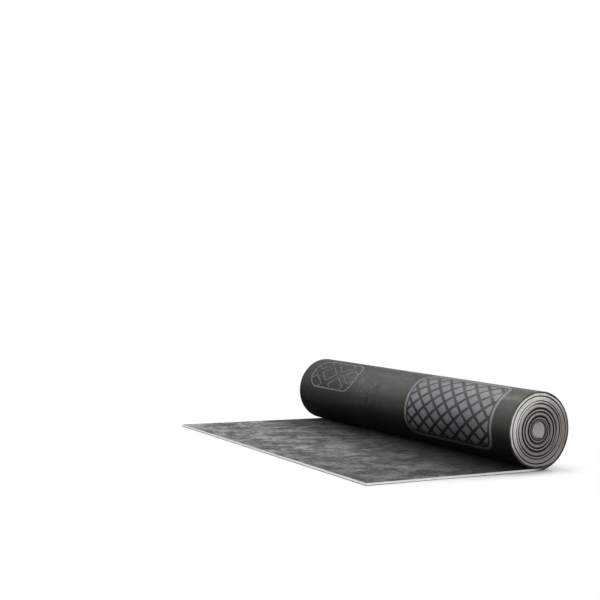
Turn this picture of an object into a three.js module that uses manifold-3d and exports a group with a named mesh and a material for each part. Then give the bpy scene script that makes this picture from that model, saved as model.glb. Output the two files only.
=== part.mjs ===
// A partly unrolled roll of bituminous roofing felt, lying on the ground: one continuous strip whose
// free end is laid flat, with the rest of it wound into a loose coil around an open bore.
//
// Millimetres, +Z up. X runs along the laid strip, which points to -X, and Y is the axis of the coil.
// The origin is on the ground, in the middle of the space the whole roll takes up.
import * as THREE from "three";
import { mergeVertices } from "three/addons/utils/BufferGeometryUtils.js";
import Module from "manifold-3d";

// Driving dimensions.
const STRIP_WIDTH = 1000;
const STRIP_LENGTH = 5000;
const STRIP_THICKNESS = 5.2;
const LAID_LENGTH = 500; // flat run, from the free end to the line where the coil starts to rise
const BORE_DIAMETER = 40; // clear through the bore, at the strip's inner end
const TURN_SLACK = 0.9; // air between one turn and the next
const SLACK_DEPTH = 12; // how far that air is open at each end of the coil, which is solid between
const SEGMENTS_PER_TURN = 36;

const FELT_COLOUR = 0x3a3a35;

// How far the cut for the slack runs past the faces that it opens, so that it leaves no skin there.
const CUT_OVERRUN = 1;

const FULL_TURN = 2 * Math.PI;
const SEGMENT = FULL_TURN / SEGMENTS_PER_TURN;
const SAME_ANGLE = 0.001; // of a segment: two points nearer than this are one

// The coil, worked out from the length of strip that is wound up: its middle line sweeps a ring whose
// area is that length times the pitch.
const pitch = STRIP_THICKNESS + TURN_SLACK;
const firstMiddle = (BORE_DIAMETER + STRIP_THICKNESS) / 2;
const woundLength = STRIP_LENGTH - LAID_LENGTH;
const lastMiddle = Math.sqrt(firstMiddle ** 2 + (woundLength * pitch) / Math.PI);
const coilRadius = lastMiddle + STRIP_THICKNESS / 2;
const innerEnd = (FULL_TURN * (lastMiddle - firstMiddle)) / pitch;

// The strip's two faces in the coil, as distances from its axis. The angle grows inwards along the
// strip, from the line where the coil stands on the ground, and up the side away from the laid strip.
const outerFace = (angle) => coilRadius - (pitch * angle) / FULL_TURN;
const innerFace = (angle) => outerFace(angle) - STRIP_THICKNESS;

// A point of the section, which is drawn in X and Z, at a distance from the coil's axis.
function turned(radius, angle) {
  return new THREE.Vector2(radius * Math.sin(angle), coilRadius - radius * Math.cos(angle));
}

// One face of the strip, from one angle to another. All turns have their corners at the same angles,
// so that the air between them is as wide at a corner as it is beside it.
function spiral(face, from, to) {
  const points = [turned(face(from), from)];
  const lastCorner = to / SEGMENT - SAME_ANGLE;
  for (let corner = Math.floor(from / SEGMENT + SAME_ANGLE) + 1; corner < lastCorner; corner++) {
    points.push(turned(face(corner * SEGMENT), corner * SEGMENT));
  }
  points.push(turned(face(to), to));
  return points;
}

// The whole roll from the side: the laid strip, the last turn around the outside and, as a hole, the
// bore inside the first turn, with the strip's inner end standing in it as a step.
function rollSection() {
  const section = new THREE.Shape([
    new THREE.Vector2(-LAID_LENGTH, 0),
    ...spiral(outerFace, 0, FULL_TURN),
    new THREE.Vector2(0, STRIP_THICKNESS),
    new THREE.Vector2(-LAID_LENGTH, STRIP_THICKNESS),
  ]);
  section.holes.push(new THREE.Path(spiral(innerFace, innerEnd - FULL_TURN, innerEnd)));
  return section;
}

// The air between the turns, from the nip over the laid strip round to the bore, just past the
// strip's inner end.
function slackSection() {
  const boreMouth = innerEnd - FULL_TURN + SEGMENT;
  return new THREE.Shape([
    new THREE.Vector2(-CUT_OVERRUN, pitch),
    new THREE.Vector2(-CUT_OVERRUN, STRIP_THICKNESS),
    ...spiral(innerFace, 0, boreMouth),
    ...spiral(outerFace, FULL_TURN, boreMouth + FULL_TURN).reverse(),
  ]);
}

// A section made solid across the strip, from one place along Y to another.
function acrossStrip(section, from, to) {
  return new THREE.ExtrudeGeometry(section, { depth: to - from, bevelEnabled: false })
    .rotateX(Math.PI / 2)
    .translate(0, to, 0);
}

const wasm = await Module();
wasm.setup();

function solidOf(geometry) {
  geometry.deleteAttribute("normal");
  geometry.deleteAttribute("uv");
  const merged = mergeVertices(geometry);
  return new wasm.Manifold(
    new wasm.Mesh({
      numProp: 3,
      vertProperties: merged.attributes.position.array,
      triVerts: merged.index.array,
    }),
  );
}

function geometryOf(solid) {
  const { vertProperties, triVerts } = solid.getMesh();
  return new THREE.BufferGeometry()
    .setAttribute("position", new THREE.BufferAttribute(vertProperties, 3))
    .setIndex(new THREE.BufferAttribute(triVerts, 1));
}

function feltStrip() {
  const side = STRIP_WIDTH / 2;
  const roll = solidOf(acrossStrip(rollSection(), -side, side));
  const slackNear = solidOf(acrossStrip(slackSection(), -side - CUT_OVERRUN, -side + SLACK_DEPTH));
  const slackFar = solidOf(acrossStrip(slackSection(), side - SLACK_DEPTH, side + CUT_OVERRUN));
  return geometryOf(roll.subtract(slackNear).subtract(slackFar));
}

const felt = new THREE.Mesh(
  feltStrip(),
  new THREE.MeshStandardMaterial({ color: FELT_COLOUR, roughness: 0.85, metalness: 0 }),
);
felt.name = "felt_strip";

// The section starts under the coil's axis; the part's origin is midway along the whole roll.
felt.geometry.computeBoundingBox();
const { min, max } = felt.geometry.boundingBox;
felt.position.x = -(min.x + max.x) / 2;

const roofingFeltRoll = new THREE.Group();
roofingFeltRoll.add(felt);

export default roofingFeltRoll;
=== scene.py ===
"""A partly unrolled roll of roofing felt, lying on a white studio floor.

The strip is one mesh that replaces the solid roll. It runs from its free end, along the ground, up
around the coil and inwards turn by turn to the bore, at its real thickness and with real air between
the turns. All sizes are in metres unless a name says otherwise.
"""

import math
from collections import namedtuple

import bpy
import numpy as np
from mathutils import Matrix, Vector, noise


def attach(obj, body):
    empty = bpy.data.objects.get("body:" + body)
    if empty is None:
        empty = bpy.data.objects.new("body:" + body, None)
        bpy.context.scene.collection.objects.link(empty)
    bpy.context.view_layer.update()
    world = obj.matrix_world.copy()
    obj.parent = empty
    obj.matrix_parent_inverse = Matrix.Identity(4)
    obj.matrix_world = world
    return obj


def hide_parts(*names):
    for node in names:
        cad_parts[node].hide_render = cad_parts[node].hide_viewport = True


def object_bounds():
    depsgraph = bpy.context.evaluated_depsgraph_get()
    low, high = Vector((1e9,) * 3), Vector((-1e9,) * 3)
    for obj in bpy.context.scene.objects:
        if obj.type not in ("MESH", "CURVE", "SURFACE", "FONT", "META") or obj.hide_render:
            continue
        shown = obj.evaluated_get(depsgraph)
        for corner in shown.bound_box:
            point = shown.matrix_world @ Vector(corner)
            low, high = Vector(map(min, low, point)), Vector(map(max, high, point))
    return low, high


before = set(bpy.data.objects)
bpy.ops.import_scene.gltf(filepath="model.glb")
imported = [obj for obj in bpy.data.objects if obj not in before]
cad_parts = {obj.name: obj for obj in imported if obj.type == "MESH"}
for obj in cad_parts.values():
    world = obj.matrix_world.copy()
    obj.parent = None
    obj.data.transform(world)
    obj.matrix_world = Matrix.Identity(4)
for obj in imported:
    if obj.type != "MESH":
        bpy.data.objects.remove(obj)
CAD_LOW, CAD_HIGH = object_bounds()

MM = 0.001
FULL_TURN = 2 * math.pi

# ---------------------------------------------------------------- the strip's sizes, as in the solid

THICKNESS = 5.2 * MM
PITCH = 6.1 * MM
LAID_LENGTH = 500 * MM
BORE_RADIUS = 20 * MM
WIDTH = CAD_HIGH.y - CAD_LOW.y
COIL_RADIUS = (CAD_HIGH.z + PITCH / 2) / 2
AXIS_X = CAD_LOW.x + LAID_LENGTH
TURNS = (COIL_RADIUS - THICKNESS - BORE_RADIUS) / PITCH

# ---------------------------------------------------------------- how the strip is wound and cut

# Air after each turn, in millimetres, outermost first: some turns are drawn tight, others stand loose.
GAPS_MM = (0.15, 1.6, 0.15, 1.3, 1.7, 0.15, 1.7, 1.9, 0.15, 1.7, 0.8, 0.8)
GAP_CHANGE = 0.35                 # the share of a turn over which one gap grows into the next
GAP_WOBBLE = 0.12                 # the share by which a gap varies as it goes round
WOBBLE_START = 1.0                # radians: from there on it varies fully
WOBBLE_WAVES = 0.9                # per radian
WOBBLE_SEED = (0.0, 7.3)
END_SHIFT = 1.1 * MM              # how far a turn stands in or out at the coil's ends
SHIFT_START = 3.0                 # radians: from there on it does so fully
SHIFT_WAVES = 0.35                # per radian
SHIFT_SEED = (3.1, 1.7)

# The dark lines on the cut edges beside that air, in millimetres: on the turn outside it, which at the
# last turn faces the bore, and on the turn inside it.
SEAMS_BEFORE_MM = (0.0, 1.1, 0.0, 1.0, 1.4, 0.0, 3.0, 0.9, 0.0, 3.2, 1.4, 2.8, 2.8)
SEAMS_AFTER_MM = (0.0, 0.9, 0.0, 0.7, 1.2, 0.0, 1.3, 2.0, 0.0, 1.8, 1.5, 2.8)
LAID_SEAM_MM = 0.9                # the one along the laid strip's underside
RIM_SEAM_MM = 4.4                 # and what it grows into round the coil's outside
RIM_START = 0.2                   # radians: by there it has grown so wide
RIM_END = 0.8                     # and over so much of the second turn it narrows again

CORNER = 0.5 * MM                 # the small flat along each cut edge
SIDE_SLANT = 2.4 * MM             # how far the laid strip's upper face is cut back from its outer face
END_SLANT = 5.0 * MM              # and the same at its free end
CUT_REACH = 12 * MM               # how far in from the cut the upper face's vertices move for it
SLANT_FADE = 120 * MM             # the length of strip on the coil over which the cut turns square
EDGE_INSET = 0.15 * MM            # how far a cut side stands in from the solid's, so that it can be rough
EDGE_ROUGHNESS = 0.12 * MM
EDGE_WAVES = 160                  # per metre
EDGE_SEED = 4.4

# Each unevenness of a face: its height, its waves per metre along and across the strip, and its seed.
OUTER_SWELLS = ((0.25 * MM, 9, 5, 2.2),)
UPPER_DENTS = ((0.22 * MM, 28, 28, 5.5), (0.12 * MM, 75, 75, 8.8))
UNEVEN_EDGE = 4 * MM              # it grows over this distance from the cut sides
OUTER_UNEVEN_FROM = LAID_LENGTH + 20 * MM   # the laid strip's outer face lies flat on the floor

# Faint creases round the coil: place across the strip, and from where to where along it.
CREASES = ((0.158, 0.87, 0.96), (0.139, 0.86, 0.94), (0.112, 0.88, 0.97), (0.094, 0.89, 0.95))
CREASE_WIDTH = 5 * MM
CREASE_DEPTH = 0.3 * MM
CREASE_RUN_OUT = 30 * MM          # the length over which it fades at each end

# ---------------------------------------------------------------- the mesh's fineness

LAID_STEP = 8 * MM
OUTER_TURN_ROWS = 120
INNER_TURN_ROWS = 72
FINE_COLUMN = 6.2 * MM
COARSE_COLUMNS = (0, 12 * MM, 60 * MM, 200 * MM)   # in from the strip's sides, on the hidden turns
SHARP_ANGLE = 28                  # degrees: faces that meet at more are shaded apart
ROUNDING = 1e-6                   # radians, well under a row's step


def smooth(share):
    share = min(max(share, 0.0), 1.0)
    return share * share * (3 - 2 * share)


def drift(x, y, seed):
    """Smooth noise from about -1 to 1."""
    return noise.noise(Vector((x, y, seed)))


# ================================================================ the strip's path

# A row of vertices across the strip: its places in X and Z on the outer and the inner face, its distance
# from the free end, how far it is shifted in Y, and the widths of the dark lines along those two faces.
Row = namedtuple("Row", "outer inner along shift seams")


def turn_value(values, start, angle):
    """The value of the turn at this angle, after it has grown out of the last turn's."""
    turn = int(angle / FULL_TURN)
    before = values[turn - 1] if turn else start
    return before + (values[turn] - before) * smooth((angle / FULL_TURN - turn) / GAP_CHANGE)


def gap_after(angle):
    """The air between the turn at this angle and the next turn in."""
    wobble = GAP_WOBBLE * drift(angle * WOBBLE_WAVES, *WOBBLE_SEED) * smooth(angle / WOBBLE_START)
    return turn_value(GAPS_MM, (PITCH - THICKNESS) / MM, angle) * MM * (1 + wobble)


def seams(angle):
    """The widths of the dark lines on the cut edges along the outer face and the inner face."""
    if angle < FULL_TURN:
        outside = LAID_SEAM_MM + (RIM_SEAM_MM - LAID_SEAM_MM) * smooth(angle / RIM_START)
    else:
        rim_left = RIM_SEAM_MM * smooth(1 - (angle - FULL_TURN) / RIM_END)
        outside = max(rim_left, turn_value(SEAMS_AFTER_MM, 0.0, angle - FULL_TURN))
    return outside * MM, turn_value(SEAMS_BEFORE_MM, 0.0, angle) * MM


def outer_radius(angle):
    """From the coil's axis to the strip's outer face. Each turn follows the one outside it."""
    inward = 0.0
    while angle >= FULL_TURN:
        angle -= FULL_TURN
        inward += THICKNESS + gap_after(angle)
    return COIL_RADIUS - PITCH * angle / FULL_TURN - inward


def cut_back(slant, distance):
    """How far a point of the upper face moves in, by its distance from a cut edge."""
    return slant * max(0.0, 1 - distance / CUT_REACH)


def row_laid(x):
    """A row across the laid strip, at this distance from the coil's axis."""
    along = LAID_LENGTH + x
    return Row((x, 0.0), (x + cut_back(END_SLANT, along), THICKNESS), along, 0.0, seams(0.0))


def row_wound(angle, along):
    """A row across the coil. The angle is 0 at the bottom and grows inwards turn by turn."""
    radius = outer_radius(angle)
    s, c = math.sin(angle), math.cos(angle)
    outer = (radius * s, COIL_RADIUS - radius * c)
    inner = ((radius - THICKNESS) * s, COIL_RADIUS - (radius - THICKNESS) * c)
    shift = END_SHIFT * drift(angle * SHIFT_WAVES, *SHIFT_SEED) * smooth(angle / SHIFT_START)
    return Row(outer, inner, along, shift, seams(angle))


def strip_rows():
    """All rows, from the free end to the inner end, and the number of them that are finely divided."""
    count = round(LAID_LENGTH / LAID_STEP)
    rows = [row_laid(-LAID_LENGTH), row_laid(-LAID_LENGTH + CORNER)]
    rows += [row_laid(-LAID_LENGTH * (1 - i / count)) for i in range(1, count + 1)]
    along, angle, fine_count = LAID_LENGTH, 0.0, 0
    end = TURNS * FULL_TURN
    while angle < end - ROUNDING:
        per_turn = OUTER_TURN_ROWS if angle < FULL_TURN - ROUNDING else INNER_TURN_ROWS
        step = min(FULL_TURN / per_turn, end - angle)
        along += (outer_radius(angle) - THICKNESS / 2) * step
        angle += step
        rows.append(row_wound(angle, along))
        if angle < FULL_TURN + ROUNDING:
            fine_count = len(rows)
    return rows, fine_count


def columns():
    """Places across the strip on its faces, fine and coarse. Each coarse one is also a fine one."""
    edge = WIDTH / 2 - CORNER
    half = [edge - d for d in COARSE_COLUMNS]
    coarse = sorted({*half, *(-y for y in half)})
    fine = []
    for low, high in zip(coarse, coarse[1:]):
        parts = max(1, round((high - low) / FINE_COLUMN))
        fine += [low + (high - low) * i / parts for i in range(parts)]
    return fine + [coarse[-1]], coarse


# ================================================================ the mesh

def unevenness(waves, along, across):
    total = 0.0
    for height, waves_along, waves_across, seed in waves:
        total += height * drift(along * waves_along, across * waves_across, seed)
    return total


def crease_depth(along, across):
    """How deep the creases round the coil are there."""
    depth = 0.0
    for place, low, high in CREASES:
        away = (across - place) / CREASE_WIDTH
        reach = smooth((along - low) / CREASE_RUN_OUT) * smooth((high - along) / CREASE_RUN_OUT)
        depth += CREASE_DEPTH * math.exp(-away * away) * reach
    return depth


def relief(along, across):
    """How far the outer face and the upper face stand proud of the even strip there."""
    fade = smooth((WIDTH / 2 - abs(across)) / UNEVEN_EDGE)
    outer = 0.0
    if along > OUTER_UNEVEN_FROM:
        outer = unevenness(OUTER_SWELLS, along, across) - crease_depth(along, across)
    return outer * fade, unevenness(UPPER_DENTS, along, across) * fade


def between(a, b, share):
    return (a[0] + (b[0] - a[0]) * share, a[1] + (b[1] - a[1]) * share)


OUTER, UPPER, EDGE = 0, 1, 2      # the finishes' material slots
VALUE_NAMES = ("along", "across", "depth", "seam_outside", "seam_inside")


class StripMesh:
    """Collects the strip's vertices row by row, with the values that the finishes read at each."""

    def __init__(self):
        self.points, self.values, self.faces, self.finishes = [], [], [], []

    def vertex(self, row, depth, across, y, inwards=0.0):
        """A vertex at that share of the thickness below the outer face, and that much further in. The
        finishes read across, which is where it would be if the strip were cut square."""
        x, z = between(row.outer, row.inner, depth + inwards / THICKNESS)
        self.points.append((AXIS_X + x, y + row.shift, z))
        self.values.append((row.along, across, depth, *row.seams))
        return len(self.points) - 1

    def add_row(self, row, places, is_end, is_visible):
        """One loop round the strip: outer face, far side, inner face and near side."""
        corner = CORNER / THICKNESS
        outer_depth, inner_depth = (corner, 1 - corner) if is_end else (0.0, 1.0)
        slant = SIDE_SLANT * (1 - smooth((row.along - LAID_LENGTH) / SLANT_FADE))
        loop = {"outer": [], "inner": [], "far": [], "near": []}
        for y in places:
            on_outer, on_upper = relief(row.along, y) if is_visible else (0.0, 0.0)
            slanted = y - math.copysign(cut_back(slant, WIDTH / 2 - abs(y)), y)
            loop["outer"].append(self.vertex(row, outer_depth, y, y, -on_outer))
            loop["inner"].append(self.vertex(row, inner_depth, y, slanted, on_upper))
        for name, side in (("far", 1), ("near", -1)):
            rough = EDGE_ROUGHNESS * drift(row.along * EDGE_WAVES, side, EDGE_SEED)
            half = WIDTH / 2 - EDGE_INSET - rough - (CORNER if is_end else 0.0)
            for depth in (corner, 1 - corner):
                y = side * (half - slant * depth)
                loop[name].append(self.vertex(row, depth, side * WIDTH / 2, y))
        return loop

    def face(self, corners, finish):
        self.faces.append(corners)
        self.finishes.append(finish)

    def join(self, a, b, a_places, b_places):
        """Faces between two rows, where b may have fewer places than a."""
        starts = [a_places.index(y) for y in b_places]
        for j in range(len(b_places) - 1):
            span = range(starts[j], starts[j + 1] + 1)
            self.face([a["outer"][i] for i in span] + [b["outer"][j + 1], b["outer"][j]], OUTER)
            inner = [a["inner"][i] for i in reversed(span)]
            self.face(inner + [b["inner"][j], b["inner"][j + 1]], UPPER)
        for side, end in (("far", -1), ("near", 0)):
            a_loop, b_loop = self.side_loop(a, side, end), self.side_loop(b, side, end)
            for i in range(len(a_loop) - 1):
                corners = [a_loop[i], a_loop[i + 1], b_loop[i + 1], b_loop[i]]
                self.face(corners[::-1] if side == "near" else corners, EDGE)

    @staticmethod
    def side_loop(row, side, end):
        return [row["outer"][end], *row[side], row["inner"][end]]

    def close(self, row, is_free_end):
        """The cut across the strip at one of its two ends."""
        low, high = row["outer"], row["inner"]
        for j in range(len(low) - 1):
            corners = [low[j], high[j], high[j + 1], low[j + 1]]
            self.face(corners if is_free_end else corners[::-1], EDGE)
        for side, end in (("near", 0), ("far", -1)):
            corners = self.side_loop(row, side, end)
            self.face(corners if (side == "near") == is_free_end else corners[::-1], EDGE)


def strip_mesh():
    rows, fine_count = strip_rows()
    fine, coarse = columns()
    places = [fine if i < fine_count else coarse for i in range(len(rows))]
    mesh = StripMesh()
    loops = []
    for i, row in enumerate(rows):
        is_end = i in (0, len(rows) - 1)
        loops.append(mesh.add_row(row, places[i], is_end, i < fine_count))
    for i in range(len(rows) - 1):
        mesh.join(loops[i], loops[i + 1], places[i], places[i + 1])
    mesh.close(loops[0], True)
    mesh.close(loops[-1], False)
    return mesh


def build_strip(materials):
    mesh = strip_mesh()
    data = bpy.data.meshes.new("felt_strip_detail")
    data.from_pydata(mesh.points, [], mesh.faces)
    for name, values in zip(VALUE_NAMES, np.array(mesh.values, np.float32).T):
        attribute = data.attributes.new(name, "FLOAT", "POINT")
        attribute.data.foreach_set("value", np.ascontiguousarray(values))
    for material in materials:
        data.materials.append(material)
    data.polygons.foreach_set("material_index", np.array(mesh.finishes, np.int32))
    data.polygons.foreach_set("use_smooth", np.ones(len(mesh.faces), bool))
    data.set_sharp_from_angle(angle=math.radians(SHARP_ANGLE))
    data.update()
    obj = bpy.data.objects.new("felt_strip_detail", data)
    bpy.context.scene.collection.objects.link(obj)
    return obj


# ================================================================ material helpers

def colour(r, g, b):
    return (r, g, b, 1.0)


class Nodes:
    """The node tree of a material or world, with short calls for the nodes used here."""

    def __init__(self, owner, output_kind="ShaderNodeOutputMaterial"):
        self.owner = owner
        owner.use_nodes = True
        self.tree = owner.node_tree
        self.tree.nodes.clear()
        self.output = self.tree.nodes.new(output_kind)

    def node(self, kind, inputs=None, **settings):
        made = self.tree.nodes.new(kind)
        for key, value in settings.items():
            setattr(made, key, value)
        for key, value in (inputs or {}).items():
            self.put(made.inputs[key], value)
        return made

    def put(self, socket, value):
        if isinstance(value, bpy.types.NodeSocket):
            self.tree.links.new(value, socket)
        else:
            socket.default_value = value

    def math(self, operation, a, b=0.0):
        return self.node("ShaderNodeMath", {0: a, 1: b}, operation=operation).outputs[0]

    def plus(self, a, b):
        return self.math("ADD", a, b)

    def minus(self, a, b):
        return self.math("SUBTRACT", a, b)

    def times(self, a, b):
        return self.math("MULTIPLY", a, b)

    def larger(self, a, b):
        return self.math("MAXIMUM", a, b)

    def smaller(self, a, b):
        return self.math("MINIMUM", a, b)

    def absolute(self, a):
        return self.math("ABSOLUTE", a)

    def length(self, x, y):
        return self.math("SQRT", self.plus(self.times(x, x), self.times(y, y)))

    def value(self, name):
        """The mesh's value of that name, one of VALUE_NAMES."""
        return self.node("ShaderNodeAttribute", attribute_name=name).outputs["Fac"]

    def place(self):
        """The point's place in the object's own frame, as outputs X, Y and Z."""
        place = self.node("ShaderNodeTexCoord").outputs["Object"]
        return self.node("ShaderNodeSeparateXYZ", {0: place}).outputs

    def point(self, x, y, z=0.0):
        return self.node("ShaderNodeCombineXYZ", {"X": x, "Y": y, "Z": z}).outputs[0]

    def noise(self, point, scale, detail, roughness=0.5, distortion=0.0):
        inputs = {"Vector": point, "Scale": scale, "Detail": detail, "Roughness": roughness,
                  "Distortion": distortion}
        return self.node("ShaderNodeTexNoise", inputs).outputs["Fac"]

    def ramp(self, value, start, end, to_start=0.0, to_end=1.0, kind="SMOOTHSTEP"):
        inputs = {"Value": value, "From Min": start, "From Max": end,
                  "To Min": to_start, "To Max": to_end}
        return self.node("ShaderNodeMapRange", inputs, interpolation_type=kind).outputs["Result"]

    def mix(self, factor, a, b, blend="MIX"):
        inputs = {0: factor, 6: a, 7: b}                # a mix node's sockets for colours
        return self.node("ShaderNodeMix", inputs, data_type="RGBA", blend_type=blend).outputs[2]

    def scaled(self, tone, share):
        """A colour times that share."""
        return self.mix(1.0, tone, self.point(share, share, share), "MULTIPLY")

    def bump(self, height, distance, strength=1.0, under=None):
        """A bump on top of the one under it."""
        inputs = {"Height": height, "Distance": distance, "Strength": strength}
        if under is not None:
            inputs["Normal"] = under
        return self.node("ShaderNodeBump", inputs).outputs[0]

    def seen_plainly(self):
        """1 where the camera or a reflection shows the surface, 0 where it lights something."""
        rays = self.node("ShaderNodeLightPath").outputs
        mirrored = self.larger(rays["Is Glossy Ray"], rays["Is Transmission Ray"])
        return self.larger(rays["Is Camera Ray"], mirrored)

    def finish(self, shader):
        """The material or world, with this shader as its surface."""
        self.tree.links.new(shader.outputs[0], self.output.inputs[0])
        return self.owner

    def principled(self, **inputs):
        """The material with a principled shader. In the inputs' names, _ stands for a space."""
        inputs = {name.replace("_", " "): value for name, value in inputs.items()}
        return self.finish(self.node("ShaderNodeBsdfPrincipled", inputs))


def box_distance(n, x, y, centre, half, corner=0.0):
    """How far a point is outside a box with round corners: negative inside it."""
    dx = n.minus(n.absolute(n.minus(x, centre[0])), half[0] - corner)
    dy = n.minus(n.absolute(n.minus(y, centre[1])), half[1] - corner)
    outside = n.length(n.larger(dx, 0.0), n.larger(dy, 0.0))
    inside = n.smaller(n.larger(dx, dy), 0.0)
    return n.minus(n.plus(outside, inside), corner)


# Most of a noise's values lie between these.
NOISE_LOW, NOISE_HIGH = 0.3, 0.7


# ================================================================ the film on the outer face

# In the finishes, a place along the strip is its distance from the free end: the coil starts at 0.5,
# its top is at 0.80, its side over the laid strip at 0.94, and its second turn starts at 1.085. A place
# across goes from -0.5 at the near side to 0.5 at the far side. A ramp is where it starts and ends, and
# then its values there, unless they are 0 and 1.
FILM_DARK = colour(0.0067, 0.0065, 0.0044)
FILM_LIGHT = colour(0.0113, 0.0109, 0.0075)
FILM_GRAIN = colour(0.024, 0.024, 0.020)
GRAIN_SHOWN = (0.35, 0.75, 0.0, 0.35)
INK_DARK = colour(0.196, 0.205, 0.238)
INK_LIGHT = colour(0.256, 0.266, 0.303)
INK_SPECKS = (0.25, 0.5, 0.72, 1.0)
INK_WORN_ABOVE = (0.80, 0.88, 0.75, 1.0)        # along the strip: it is a little worn on the coil's top
INK_FADE_INTO_SHADE = (0.89, 1.02, 1.0, 0.15)        # and faded much more towards the floor: painted shade
ROUGH_GRAIN = (0.3, 0.8, 0.38, 0.46)
ROUGH_FAR_END = (0.2, 0.5, 0.0, 0.3)            # across the strip
ROUGH_SCUFFS = (NOISE_LOW, NOISE_HIGH, 0.0, 0.05)
SHINE_TINT = colour(1.0, 0.978, 0.77)
SHINE_NEAR = (-0.5, -0.2, 0.23, 0.112)          # across the strip: most at the near end
SHINE_MIDDLE = (0.0, 0.28, 0.0, -0.04)          # least beyond the middle
SHINE_FAR = (0.3, 0.5, 0.0, 0.12)               # and more again at the far end
SHINE_SCUFFS = (NOISE_LOW, NOISE_HIGH, 1.15, 0.85)
SHINE_BELOW = (0.93, 1.01, 1.0, 0.06)           # along the strip: it dies away towards the floor
SHINE_SKEW = (0.2, 0.5, 0.0, 0.03)              # across the strip: a little higher at the far end
SCUFF_STRETCH = 3.0
# Where the film is faintly creased: the middle and the half size, along and across the strip.
FOLDED = ((0.915, 0.126), (0.048, 0.050))
FOLDED_EDGE = (-30 * MM, 10 * MM, 1.0, 0.0)     # by the distance outside that box
FOLD_WAVES = (24.0, 130.0)                      # per metre, along and across the strip

# The printed panels: the place of each one's middle, its half size along and across the strip, its
# border's width, its lozenges' height and width, and whether they are filled or only outlined.
PANELS = (
    ((0.905, -0.252), (0.100, 0.182), 0.008, (0.040, 0.052), True),
    ((0.872, 0.330), (0.052, 0.120), 0.003, (0.070, 0.120), False),
)
PANEL_CORNER = 45 * MM
PANEL_MARGIN = 1.8                # the lattice starts this many border widths in
PANEL_SOFTNESS = 0.8 * MM
LOZENGE_GAP = 0.135               # the bare share of a lozenge on each side of its border
LOZENGE_LINE = 0.03               # the share that an outline fills
LOZENGE_SOFTNESS = 0.01
HALF_LOZENGE = 0.5


def lozenges(n, along, across, size, is_filled):
    """A lattice of lozenges of that height and width, with bare lines between them."""
    u = n.math("DIVIDE", along, size[0])
    v = n.math("DIVIDE", across, size[1])
    from_lines = n.smaller(n.math("PINGPONG", n.plus(u, v), HALF_LOZENGE),
                           n.math("PINGPONG", n.minus(u, v), HALF_LOZENGE))
    whole = n.ramp(from_lines, LOZENGE_GAP - LOZENGE_SOFTNESS, LOZENGE_GAP + LOZENGE_SOFTNESS)
    if is_filled:
        return whole
    hollow = LOZENGE_GAP + LOZENGE_LINE
    return n.minus(whole, n.ramp(from_lines, hollow - LOZENGE_SOFTNESS, hollow + LOZENGE_SOFTNESS))


def printed_panels(n, along, across):
    """1 where there is ink: a frame and a lattice of lozenges in each panel."""
    mask = 0.0
    for centre, half, border, lozenge, is_filled in PANELS:
        away = box_distance(n, along, across, centre, half, PANEL_CORNER)
        from_border = n.absolute(n.plus(away, border / 2))
        frame_line = n.ramp(from_border, border / 2, border / 2 + PANEL_SOFTNESS, 1.0, 0.0)
        margin = -border * PANEL_MARGIN
        inside = n.ramp(away, margin, margin + PANEL_SOFTNESS, 1.0, 0.0)
        lattice = n.times(inside, lozenges(n, along, across, lozenge, is_filled))
        mask = n.larger(mask, n.larger(frame_line, lattice))
    return mask


def film_colour(n, along, across, grain):
    """The bitumen's dark film, and the worn ink of the panels, which fades as painted shade towards the
    floor.
    """
    spot = n.point(along, across)
    broad = n.ramp(n.noise(spot, scale=9.0, detail=3.0, roughness=0.55), NOISE_LOW, NOISE_HIGH)
    film = n.mix(broad, FILM_DARK, FILM_LIGHT)
    film = n.mix(n.ramp(grain, *GRAIN_SHOWN), film, FILM_GRAIN)
    ink = n.mix(broad, INK_DARK, INK_LIGHT)
    kept = n.ramp(n.noise(spot, scale=420.0, detail=3.0, roughness=0.6), *INK_SPECKS)
    # The ink fades towards the floor as painted shade.
    kept = n.times(kept, n.ramp(along, *INK_FADE_INTO_SHADE))
    kept = n.times(kept, n.ramp(along, *INK_WORN_ABOVE))
    return n.mix(n.times(printed_panels(n, along, across), kept), film, ink)


def film_relief(n, along, across, grain):
    """The film's fine folds, soft dents and grain."""
    folds = n.point(n.times(along, FOLD_WAVES[0]), n.times(across, FOLD_WAVES[1]))
    folds = n.noise(folds, scale=1.0, detail=2.0, roughness=0.5, distortion=1.0)
    folded = n.ramp(box_distance(n, along, across, *FOLDED), *FOLDED_EDGE)
    dents = n.noise(n.point(along, across), scale=60.0, detail=2.0)
    surface = n.bump(n.times(folds, folded), distance=1.6 * MM)
    surface = n.bump(dents, distance=0.5 * MM, strength=0.35, under=surface)
    return n.bump(grain, distance=0.12 * MM, strength=0.6, under=surface)


def film_shine(n, along, across, scuffs):
    """How strongly the film mirrors: most near its ends, hardly where it nears the floor."""
    shine = n.plus(n.ramp(across, *SHINE_NEAR), n.ramp(across, *SHINE_MIDDLE))
    shine = n.plus(shine, n.ramp(across, *SHINE_FAR))
    shine = n.times(shine, n.ramp(n.plus(along, n.ramp(across, *SHINE_SKEW)), *SHINE_BELOW))
    return n.times(shine, n.ramp(scuffs, *SHINE_SCUFFS))


def outer_face_finish():
    """The dark bitumen film on the strip's outer face, with its pale printed panels."""
    n = Nodes(bpy.data.materials.new("bitumen_film"))
    along, across = n.value("along"), n.value("across")
    grain = n.noise(n.point(along, across), scale=900.0, detail=2.0, roughness=0.6)
    scuffs = n.point(n.times(along, SCUFF_STRETCH), across)
    scuffs = n.noise(scuffs, scale=26.0, detail=4.0, roughness=0.65, distortion=0.4)
    roughness = n.plus(n.ramp(grain, *ROUGH_GRAIN), n.ramp(across, *ROUGH_FAR_END))
    return n.principled(
        Base_Color=film_colour(n, along, across, grain),
        Roughness=n.plus(roughness, n.ramp(scuffs, *ROUGH_SCUFFS)),
        Specular_IOR_Level=film_shine(n, along, across, scuffs),
        Specular_Tint=SHINE_TINT,
        Normal=film_relief(n, along, across, grain),
    )


# ================================================================ the fleece on the upper face

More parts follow.
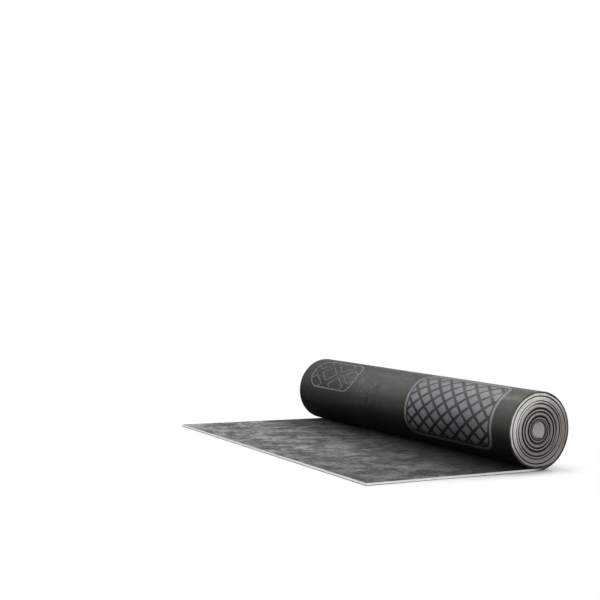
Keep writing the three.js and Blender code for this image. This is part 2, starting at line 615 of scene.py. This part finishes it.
FLEECE_DARK = colour(0.027, 0.027, 0.025)
FLEECE_LIGHT = colour(0.400, 0.399, 0.387)
FLEECE_FIBRE = colour(0.32, 0.32, 0.31)
FLEECE_PALE = colour(0.95, 0.95, 0.94)
# The painted shade at the bore's two mouths.
MOUTH_SHADE = colour(0.035, 0.032, 0.030)
# How far the noises are drawn out along the strip or across it, and their shares in the tone.
BLOTCHES_ALONG, BLOTCHES_SHARE = 0.75, 0.44
STREAKS_ALONG, STREAKS_SHARE = 0.45, 0.28
FLECKS_ACROSS, FLECKS_SHARE = 0.35, 0.28
TONE_SPAN = (0.43, 0.62)
FIBRE_SHOWN = (0.35, 0.7, 0.0, 0.3)
# Painted shade: darker towards the near side, and darker still in the coil's painted shadow as it goes
# in.
PAINTED_SHADE_ACROSS = (-0.5, 0.45, 0.54, 1.11)
COIL_SHADOW_ALONG = (0.13, 0.45)                       # along the strip
COIL_SHADOW_ACROSS = (-0.5, 0.3, 0.07, 0.29)         # across it
LINING = (4.5, 4.8, 0.0, 0.95)                  # along the strip: the turns that line the bore are pale
MOUTH_SHADE_START = (4.5, 4.6)                        # along it, the painted shade at the bore's mouths
MOUTH_SHADE_REACH = (WIDTH / 2 - 7 * MM, WIDTH / 2 - 5 * MM, 0.0, 0.9)   # and across it, from the middle


def fleece_mottle(n, along, across, streaks):
    """The fleece's dark and light, from 0 to 1, in blotches, streaks and flecks."""
    blotches = n.point(n.times(along, BLOTCHES_ALONG), across)
    blotches = n.noise(blotches, scale=17.0, detail=6.0, roughness=0.65, distortion=0.6)
    flecks = n.point(along, n.times(across, FLECKS_ACROSS))
    flecks = n.noise(flecks, scale=110.0, detail=5.0, roughness=0.7, distortion=0.4)
    tone = n.plus(n.times(blotches, BLOTCHES_SHARE), n.times(streaks, STREAKS_SHARE))
    return n.ramp(n.plus(tone, n.times(flecks, FLECKS_SHARE)), *TONE_SPAN)


def bore_lining(n, along, across, base):
    """The innermost turns' pale face, with a dark rim of painted shade at the bore's two mouths."""
    lined = n.mix(n.ramp(along, *LINING), base, FLEECE_PALE)
    mouth_shade_mask = n.times(n.ramp(n.absolute(across), *MOUTH_SHADE_REACH), n.ramp(along, *MOUTH_SHADE_START))
    return n.mix(mouth_shade_mask, lined, MOUTH_SHADE)


def upper_face_finish():
    """The strip's mottled grey fleece, pale where it lines the bore, with painted shade and shadow on it.
    """
    n = Nodes(bpy.data.materials.new("grey_fleece"))
    along, across = n.value("along"), n.value("across")
    fibre = n.noise(n.point(along, across), scale=700.0, detail=3.0, roughness=0.7)
    streaks = n.point(n.times(along, STREAKS_ALONG), across)
    streaks = n.noise(streaks, scale=52.0, detail=6.0, roughness=0.75, distortion=0.6)
    base = n.mix(fleece_mottle(n, along, across, streaks), FLEECE_DARK, FLEECE_LIGHT)
    base = n.mix(n.ramp(fibre, *FIBRE_SHOWN), base, FLEECE_FIBRE)
    # Painted shade towards the near side, and the coil's painted shadow where the strip nears it.
    light = n.ramp(along, *COIL_SHADOW_ALONG, 1.0, n.ramp(across, *COIL_SHADOW_ACROSS))
    base = n.scaled(base, n.times(light, n.ramp(across, *PAINTED_SHADE_ACROSS)))
    rough = n.bump(streaks, distance=0.6 * MM, strength=0.6)
    return n.principled(
        Base_Color=bore_lining(n, along, across, base),
        Roughness=0.92,
        Specular_IOR_Level=0.15,
        Normal=n.bump(fibre, distance=0.3 * MM, strength=0.8, under=rough),
    )


# ================================================================ the cut edge

EDGE_WHITE = colour(0.93, 0.93, 0.91)
EDGE_GREY = colour(0.285, 0.257, 0.247)
# The pale tones of the painted light on the coil's ends.
EDGE_LIT_INNER = colour(0.45, 0.42, 0.40)
EDGE_LIT_OUTER = colour(0.94, 0.93, 0.89)
EDGE_GRAIN = colour(0.30, 0.29, 0.28)
BITUMEN = colour(0.016, 0.013, 0.012)
WOUND_FROM = (0.475, 0.51)                      # along the strip: from the laid edge to the coil's
EDGE_GRAIN_SHOWN = (0.3, 0.75, 0.0, 0.3)
# On the coil's ends, _RADIUS is by the distance from its axis and _HEIGHT by the height over it. Heights
# are shares of the coil's radius. _UPPER is by the height plus the way towards the laid strip.
# Painted light: paler above the laid strip and towards the top, in uneven patches.
PAINTED_LIGHT_UPPER = (-0.1, 1.0)
PAINTED_LIGHT_PATCHES = (NOISE_LOW, NOISE_HIGH, 0.8, 1.0)
PALE_RADIUS = (0.045, 0.080)                    # the painted-light part gets paler outwards
PAINTED_LIGHT_TOP_HEIGHT = (0.2, 0.8, 0.0, 0.6)               # painted light: the turns near the rim are lighter on top
PAINTED_LIGHT_TOP_RADIUS = (0.068, 0.088)
PAINTED_SHADE_LOW_HEIGHT = (-0.6, -0.2, 0.78, 1.0)            # and painted shade makes them darker below
PAINTED_SHADE_LOW_RADIUS = (0.068, 0.082)
FAINT_UPPER = (0.68, 0.93, 0.0, 0.65)           # the dark lines are faint where the painted light is palest
FAINT_RADIUS = (0.074, 0.084, 1.0, 0.15)        # but not near the rim
MIDDLE = 0.5                                    # of the strip's thickness
SKIN_DEPTH = (0.43, 0.48)                       # the strip's two skins, by the depth from its middle
SKIN_SHOWN = (0.49, 0.53, 0.2, 0.12)            # along the strip
LINE_WOBBLE = (NOISE_LOW, NOISE_HIGH, 0.88, 1.18)
LINE_SOFTNESS = 0.2 * MM


def wound_edge_colour(n, spot, radius, height, upper):
    """The coil's ends: painted light pales them above the laid strip and near the top; painted shade
    below.
    """
    top = n.times(n.ramp(radius, *PAINTED_LIGHT_TOP_RADIUS), n.ramp(height, *PAINTED_LIGHT_TOP_HEIGHT))
    patches = n.noise(spot, scale=14.0, detail=3.0, roughness=0.6)
    painted_light = n.larger(n.ramp(upper, *PAINTED_LIGHT_UPPER), top)
    painted_light = n.times(painted_light, n.ramp(patches, *PAINTED_LIGHT_PATCHES))
    pale = n.mix(n.ramp(radius, *PALE_RADIUS), EDGE_LIT_INNER, EDGE_LIT_OUTER)
    # Painted shade on the lower inner turns.
    low = n.ramp(radius, *PAINTED_SHADE_LOW_RADIUS, n.ramp(height, *PAINTED_SHADE_LOW_HEIGHT), 1.0)
    return n.scaled(n.mix(painted_light, EDGE_GREY, pale), low)


def dark_line(n, width, distance, wobble):
    """A line along one face of the strip, as wide as the mesh says there."""
    return n.ramp(n.minus(n.times(width, wobble), distance), 0.0, LINE_SOFTNESS)


def bitumen_shown(n, along, depth, spot, faint):
    """Where bitumen shows: along the skins of both faces, and in the dark lines beside loose turns."""
    skin = n.ramp(n.absolute(n.minus(depth, MIDDLE)), *SKIN_DEPTH)
    skin = n.times(skin, n.ramp(along, *SKIN_SHOWN))
    wobble = n.ramp(n.noise(spot, scale=30.0, detail=2.0), *LINE_WOBBLE)
    from_outside = n.times(depth, THICKNESS)
    from_inside = n.minus(THICKNESS, from_outside)
    lines = n.larger(dark_line(n, n.value("seam_outside"), from_outside, wobble),
                     dark_line(n, n.value("seam_inside"), from_inside, wobble))
    return n.larger(skin, n.times(lines, n.minus(1.0, faint)))


def cut_edge_finish():
    """The cut edge: white where laid, greyer on the coil's ends with painted light and shade, with dark
    lines.
    """
    n = Nodes(bpy.data.materials.new("cut_edge"))
    along, depth = n.value("along"), n.value("depth")
    spot = n.point(along, n.times(depth, THICKNESS))
    grain = n.noise(spot, scale=1100.0, detail=3.0, roughness=0.65)
    place = n.place()
    x, z = n.minus(place["X"], AXIS_X), n.minus(place["Z"], COIL_RADIUS)
    radius = n.length(x, z)
    height = n.math("DIVIDE", z, COIL_RADIUS)
    upper = n.minus(height, n.math("DIVIDE", x, COIL_RADIUS))
    wound = wound_edge_colour(n, spot, radius, height, upper)
    base = n.mix(n.ramp(along, *WOUND_FROM), EDGE_WHITE, wound)
    base = n.mix(n.ramp(grain, *EDGE_GRAIN_SHOWN), base, EDGE_GRAIN)
    faint = n.times(n.ramp(upper, *FAINT_UPPER), n.ramp(radius, *FAINT_RADIUS))
    return n.principled(
        Base_Color=n.mix(bitumen_shown(n, along, depth, spot, faint), base, BITUMEN),
        Roughness=0.85,
        Specular_IOR_Level=0.25,
        Normal=n.bump(grain, distance=0.25 * MM, strength=0.8),
    )


# ================================================================ floor, light and camera

FLOOR_HALF = 30.0
FLOOR_DROP = 0.3 * MM             # keeps it clear of the strip's underside
FLOOR_FADE = (0.0, 80 * MM)       # by the distance from the roll's box, from lit to plain white
FLOOR_SEEN = 0.95                 # the lit floor's lightness where it is seen
FLOOR_CAST = 0.45                 # and where it lights the object
AMBIENT = 0.05                    # the world's strength where it isn't seen
WHITE = colour(1.0, 1.0, 1.0)


def floor_finish():
    """Lit near the roll, so that it keeps the shadow, and plain white further out where it is seen."""
    n = Nodes(bpy.data.materials.new("white_floor"))
    seen = n.seen_plainly()
    lightness = n.ramp(seen, 0.0, 1.0, FLOOR_CAST, FLOOR_SEEN, "LINEAR")
    lit = n.node("ShaderNodeBsdfDiffuse", {"Color": lightness})
    plain = n.node("ShaderNodeEmission", {"Color": WHITE, "Strength": 1.0})
    place = n.place()
    away = box_distance(n, place["X"], place["Y"], (0.0, 0.0), (CAD_HIGH.x, CAD_HIGH.y))
    share = n.times(seen, n.ramp(away, *FLOOR_FADE))
    shaders = {0: share, 1: lit.outputs[0], 2: plain.outputs[0]}
    return n.finish(n.node("ShaderNodeMixShader", shaders))


def white_floor():
    corners = [(x * FLOOR_HALF, y * FLOOR_HALF, 0) for x, y in ((-1, -1), (1, -1), (1, 1), (-1, 1))]
    data = bpy.data.meshes.new("floor")
    data.from_pydata(corners, [], [(0, 1, 2, 3)])
    data.materials.append(floor_finish())
    floor = bpy.data.objects.new("floor", data)
    floor.location.z = -FLOOR_DROP
    bpy.context.scene.collection.objects.link(floor)


def white_world():
    """White where it is seen or mirrored, and a plain soft light everywhere else."""
    world = bpy.data.worlds.new("studio")
    bpy.context.scene.world = world
    n = Nodes(world, "ShaderNodeOutputWorld")
    strength = n.ramp(n.seen_plainly(), 0.0, 1.0, AMBIENT, 1.0, "LINEAR")
    n.finish(n.node("ShaderNodeBackground", {"Color": WHITE, "Strength": strength}))


def direction(azimuth, elevation):
    """The unit vector that points that way, in degrees. An azimuth of 0 is -Y, and one of 90 is +X."""
    a, e = math.radians(azimuth), math.radians(elevation)
    return Vector((math.sin(a) * math.cos(e), -math.cos(a) * math.cos(e), math.sin(e)))


# Each lamp: its name, the azimuth and elevation that it shines from, its share of a plain light, and
# the angle that it fills, which makes it soft. Angles are in degrees.
LAMPS = (
    ("back_key", 104, 40, 0.85, 42),
    ("back_high", 174, 46, 0.20, 10),
    ("back_low", -170, 20, 0.40, 34),
    ("front_fill", -18, 7, 0.64, 30),
    ("left_fill", -90, 6, 0.14, 20),
    ("overhead", 0, 89, 0.08, 60),
)


def lamps():
    """Soft suns. A share of 1 lights a surface that faces the lamp as brightly as its colour is."""
    for name, azimuth, elevation, share, softness in LAMPS:
        light = bpy.data.lights.new(name, "SUN")
        light.energy = share * math.pi
        light.angle = math.radians(softness)
        lamp = bpy.data.objects.new(name, light)
        lamp.rotation_mode = "QUATERNION"
        lamp.rotation_quaternion = direction(azimuth, elevation).to_track_quat("Z", "Y")
        bpy.context.scene.collection.objects.link(lamp)


CAMERA_PLACE = Vector((-1.6396, -2.5040, 0.4574))
CAMERA_AZIMUTH = -30.065          # degrees: where its back faces
CAMERA_DOWN = 1.2275              # degrees: how far down it looks
CAMERA_ROLL = 1.561               # degrees
CAMERA_LENS_MM = 65.73
CAMERA_SENSOR_MM = 36


def camera():
    back = direction(CAMERA_AZIMUTH, CAMERA_DOWN)
    level = Vector((0, 0, 1)).cross(back).normalized()
    upright = back.cross(level)
    roll = math.radians(CAMERA_ROLL)
    right = level * math.cos(roll) + upright * math.sin(roll)
    up = upright * math.cos(roll) - level * math.sin(roll)
    data = bpy.data.cameras.new("camera")
    data.sensor_width = CAMERA_SENSOR_MM
    data.lens = CAMERA_LENS_MM
    obj = bpy.data.objects.new("camera", data)
    turn = Matrix((right, up, back)).transposed().to_4x4()
    obj.matrix_world = Matrix.Translation(CAMERA_PLACE) @ turn
    bpy.context.scene.collection.objects.link(obj)
    bpy.context.scene.camera = obj


# ================================================================ the scene

camera()
white_world()
white_floor()
lamps()

strip = build_strip([outer_face_finish(), upper_face_finish(), cut_edge_finish()])
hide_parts("felt_strip")
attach(strip, "root")

bpy.context.scene.view_settings.view_transform = "Standard"
